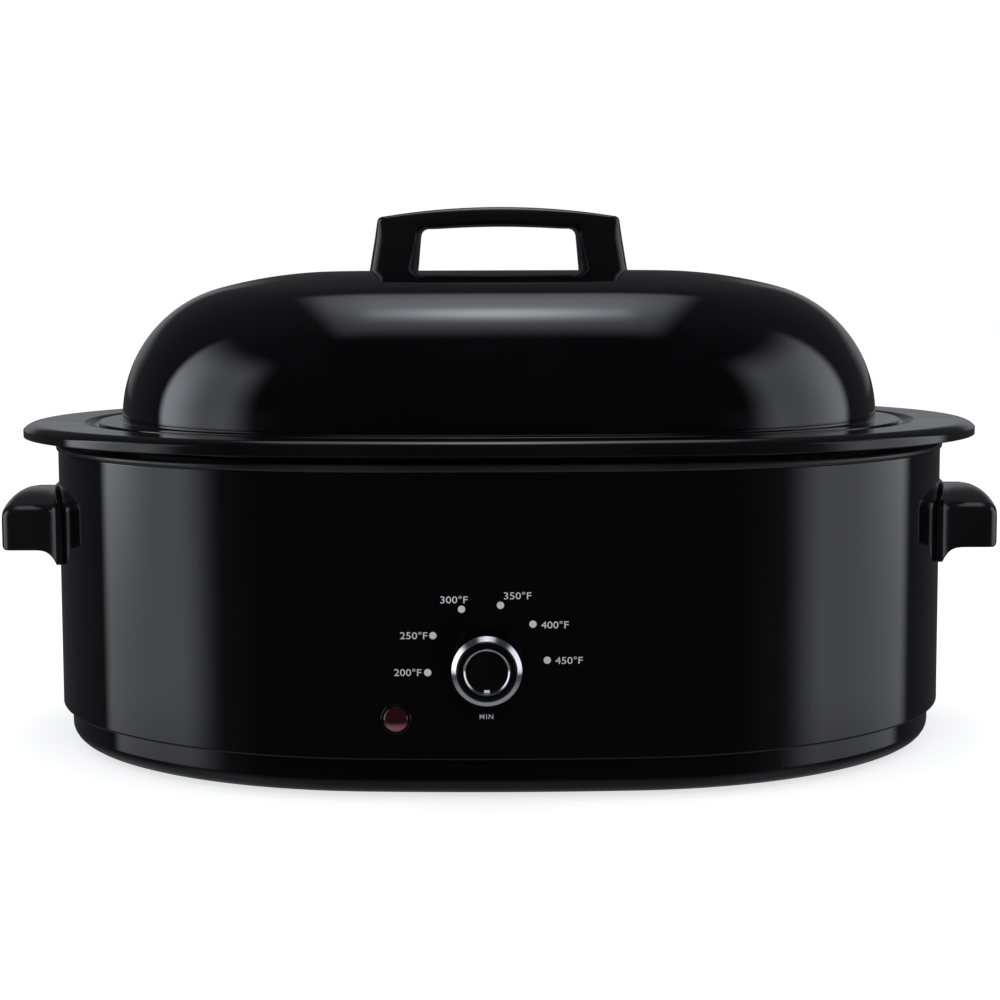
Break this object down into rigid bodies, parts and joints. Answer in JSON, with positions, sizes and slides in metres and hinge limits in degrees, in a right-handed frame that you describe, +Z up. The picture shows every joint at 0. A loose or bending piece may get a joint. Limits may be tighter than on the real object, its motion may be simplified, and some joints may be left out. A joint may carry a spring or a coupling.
{
  "type": "electric roaster oven",
  "caption": "Oval countertop roaster oven with a lift-off domed lid, removable wide-rimmed cookwell, lifting rack, two shell side handles and a front thermostat knob.",
  "frame": {"origin": "on the surface it stands on, under the middle of the oval housing", "axes": "+Z up, +X to the right seen from the front, front (the knob) at -Y"},
  "size_m": [0.582, 0.4515, 0.3103],
  "materials": {
    "body_enamel": "gloss black baked enamel",
    "lid_enamel": "gloss black porcelain enamel",
    "well_enamel": "gloss black porcelain enamel",
    "coated_steel": "satin black coated steel",
    "band_steel": "heat-tinted steel cladding",
    "zinc_steel": "zinc plated",
    "aluminium": "bright rolled",
    "glass_fibre": "loose glass-fibre felt",
    "black_phenolic": "gloss black moulding",
    "black_knob": "gloss black moulding",
    "brown_phenolic": "brown phenolic",
    "chrome": "bright chrome",
    "rack_chrome": "bright chrome wire",
    "brass": "turned",
    "rubber": "matt black",
    "silicone": "grey silicone",
    "red_lens": "clear dark red",
    "white_nylon": "natural nylon",
    "black_nylon": "black nylon",
    "lamp_glass": "clear glass",
    "white_ceramic": "unglazed ceramic",
    "lead_sleeve": "braided sleeve"
  },
  "bodies": {
    "housing": {"base_pan": "body_enamel", "feet": "rubber", "foot_screws": "zinc_steel", "liner_posts": "zinc_steel", "heat_reflector": "aluminium", "outer_wrap": "body_enamel", "inner_liner": "coated_steel", "heating_band": "band_steel", "band_clamps": "zinc_steel", "clamp_bolt": "zinc_steel", "insulation_blanket": "glass_fibre", "side_handle_left": "black_phenolic", "side_handle_right": "black_phenolic", "handle_backing_plates": "zinc_steel", "side_handle_screws": "zinc_steel", "thermostat_body": "brown_phenolic", "thermostat_bushing": "brass", "thermostat_bracket": "zinc_steel", "sensor_plate": "brass", "indicator_bezel": "black_knob", "indicator_lens": "red_lens", "lamp_holder": "white_nylon", "indicator_lamp": "lamp_glass", "cord_gland": "black_nylon", "gland_nut": "black_nylon", "terminal_block": "white_ceramic", "terminal_screws": "brass", "supply_leads": "lead_sleeve", "heater_terminals": "brass", "heater_leads": "lead_sleeve", "fuse_clip": "zinc_steel", "thermal_fuse": "white_ceramic"},
    "knob": {"knob_body": "black_knob", "knob_skirt_ring": "chrome", "knob_inlay_ring": "chrome", "knob_pointer": "chrome", "thermostat_shaft": "zinc_steel"},
    "cookwell": {"cookwell": "well_enamel"},
    "rack": {"rack_grid": "rack_chrome", "rack_loop_left": "rack_chrome", "rack_loop_right": "rack_chrome"},
    "lid": {"lid_shell": "lid_enamel", "lid_handle": "black_phenolic", "lid_handle_screws": "zinc_steel", "lid_handle_washers": "silicone"}
  },
  "joints": [
    {"name": "knob_turn", "type": "hinge", "parent": "housing", "child": "knob", "pos_m": [-0.0065, -0.205, 0.0715], "axis": [0, 1, 0], "range_deg": [0, 268]},
    {"name": "cookwell_lift", "type": "slide", "parent": "housing", "child": "cookwell", "axis": [0, 0, 1], "range_m": [0, 0.16]},
    {"name": "rack_lift", "type": "slide", "parent": "cookwell", "child": "rack", "axis": [0, 0, 1], "range_m": [0, 0.16]},
    {"name": "lid_lift", "type": "slide", "parent": "rack", "child": "lid", "axis": [0, 0, 1], "range_m": [0, 0.12]}
  ]
}
